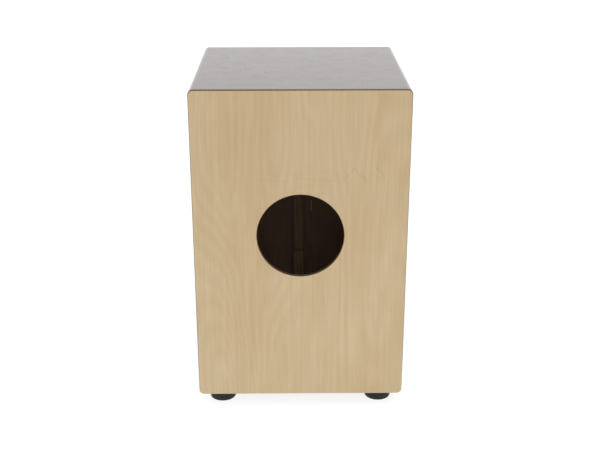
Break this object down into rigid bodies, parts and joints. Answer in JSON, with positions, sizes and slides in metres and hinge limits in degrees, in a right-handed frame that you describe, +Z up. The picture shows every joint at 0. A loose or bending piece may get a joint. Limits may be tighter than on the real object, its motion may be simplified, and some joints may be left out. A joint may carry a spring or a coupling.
{
  "type": "cajon",
  "caption": "Wooden box drum to sit on, with a thin screwed striking plate, a round sound hole in the panel behind, rubber feet and adjustable snare strings inside.",
  "frame": {"origin": "on the floor, under the middle of the box's footprint", "axes": "+X to the viewer's right when looking at the sound hole from behind, +Y forward out of the striking plate, -Y out of the sound hole, +Z up"},
  "size_m": [0.3, 0.3, 0.48],
  "materials": {
    "rear_veneer": "satin clear-coated birch veneer",
    "plate_veneer": "satin clear-coated veneer",
    "dark_lacquer": "satin dark brown lacquer outside, stained dark inside",
    "frame_wood": "stained softwood",
    "post_wood": "stained softwood, a little lighter",
    "black_screws": "black oxide",
    "zinc_steel": "zinc plated",
    "bent_steel": "nickel plated",
    "black_steel": "black oxide",
    "brass": "machined",
    "string_steel": "plated wound wire",
    "felt": "dense wool felt",
    "foot_rubber": "matt black rubber"
  },
  "bodies": {
    "box": {"rear_panel": "rear_veneer", "playing_plate": "plate_veneer", "top_panel": "dark_lacquer", "bottom_panel": "dark_lacquer", "left_side_panel": "dark_lacquer", "right_side_panel": "dark_lacquer", "front_top_rail": "frame_wood", "front_bottom_rail": "frame_wood", "front_left_stile": "frame_wood", "front_right_stile": "frame_wood", "corner_batten_bottom_left": "frame_wood", "corner_batten_bottom_right": "frame_wood", "corner_batten_top_left": "frame_wood", "corner_batten_top_right": "frame_wood", "snare_post": "post_wood", "side_plate_screws": "black_screws", "end_plate_screws": "black_screws", "foot_screws": "zinc_steel", "foot_washers": "zinc_steel", "post_screws": "zinc_steel", "guide_screws": "zinc_steel", "screw_washers": "zinc_steel", "tension_guide": "bent_steel", "snare_string_left": "string_steel", "snare_string_right": "string_steel", "damper_pad": "felt", "foot_rear_left": "foot_rubber", "foot_rear_right": "foot_rubber", "foot_front_left": "foot_rubber", "foot_front_right": "foot_rubber"},
    "left_screw": {"tension_screw_left": "black_steel"},
    "right_screw": {"tension_screw_right": "black_steel"},
    "left_carriage": {"string_carriage_left": "brass"},
    "right_carriage": {"string_carriage_right": "brass"}
  },
  "joints": [
    {"name": "left_screw_turn", "type": "hinge", "parent": "box", "child": "left_screw", "pos_m": [-0.017, 0.1348, 0.026], "axis": [0, 0, 1], "range_deg": [-905, 905]},
    {"name": "left_carriage_slide", "type": "slide", "parent": "box", "child": "left_carriage", "axis": [0, 0, -1], "range_m": [-0.002, 0.002], "deforming": ["snare_string_left"]},
    {"name": "right_screw_turn", "type": "hinge", "parent": "box", "child": "right_screw", "pos_m": [0.017, 0.1348, 0.026], "axis": [0, 0, 1], "range_deg": [-905, 905]},
    {"name": "right_carriage_slide", "type": "slide", "parent": "box", "child": "right_carriage", "axis": [0, 0, -1], "range_m": [-0.002, 0.002], "deforming": ["snare_string_right"]}
  ],
  "couplings": [
    {"joint": "left_screw_turn", "follows": "left_carriage_slide", "rad_per_m": 7854},
    {"joint": "right_screw_turn", "follows": "right_carriage_slide", "rad_per_m": 7854}
  ]
}
